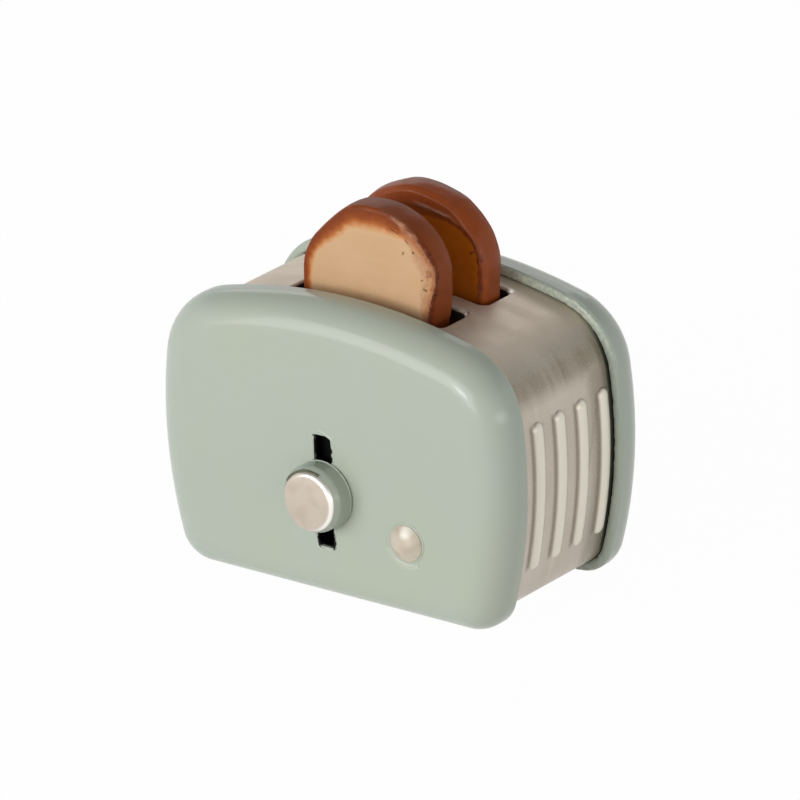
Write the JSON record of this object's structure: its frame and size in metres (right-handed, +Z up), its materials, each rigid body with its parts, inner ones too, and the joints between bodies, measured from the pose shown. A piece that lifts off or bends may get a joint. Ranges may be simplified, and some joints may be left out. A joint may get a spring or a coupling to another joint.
{
  "type": "toy toaster",
  "caption": "Dolls' house toaster: rounded end panels clamp a ribbed casing with bread slots; a knob slides in the front panel and lifts toy bread on a guide wire.",
  "frame": {"origin": "on the surface that the toaster stands on, in the middle of its width and depth, knob included", "axes": "+X to the right as seen from the knob's side, +Y from the knob's side to the back, +Z up"},
  "size_m": [0.054, 0.0348, 0.0502],
  "materials": {
    "mint_enamel": "gloss",
    "champagne_lacquer": "satin",
    "satin_silver": "satin",
    "bright_steel": "satin",
    "brass": "satin",
    "nylon": "matte",
    "bread_resin": "satin"
  },
  "bodies": {
    "housing": {"front_panel": "mint_enamel", "rear_panel": "mint_enamel", "tie_screws": "bright_steel", "casing": "champagne_lacquer", "base_plate": "bright_steel", "guide_wire": "bright_steel", "dial_stud": "satin_silver", "dial_push_nut": "bright_steel"},
    "lever": {"lever_knob": "mint_enamel", "knob_cap": "satin_silver", "lever_pin": "bright_steel", "slide_washer": "nylon", "spring_washer": "bright_steel", "lift_plate": "bright_steel", "front_bread_tray": "bright_steel", "rear_bread_tray": "bright_steel", "tray_rivets": "brass", "left_guide_bush": "brass", "right_guide_bush": "brass"},
    "front_slice": {"front_bread_slice": "bread_resin"},
    "rear_slice": {"rear_bread_slice": "bread_resin"}
  },
  "joints": [
    {"name": "lever_slide", "type": "slide", "parent": "housing", "child": "lever", "axis": [0, 0, 1], "range_m": [-0.0058, 0.0064]},
    {"name": "front_slice_lift", "type": "slide", "parent": "lever", "child": "front_slice", "axis": [0, 0, 1], "range_m": [0, 0.02]},
    {"name": "rear_slice_lift", "type": "slide", "parent": "lever", "child": "rear_slice", "axis": [0, 0, 1], "range_m": [0, 0.02]}
  ]
}
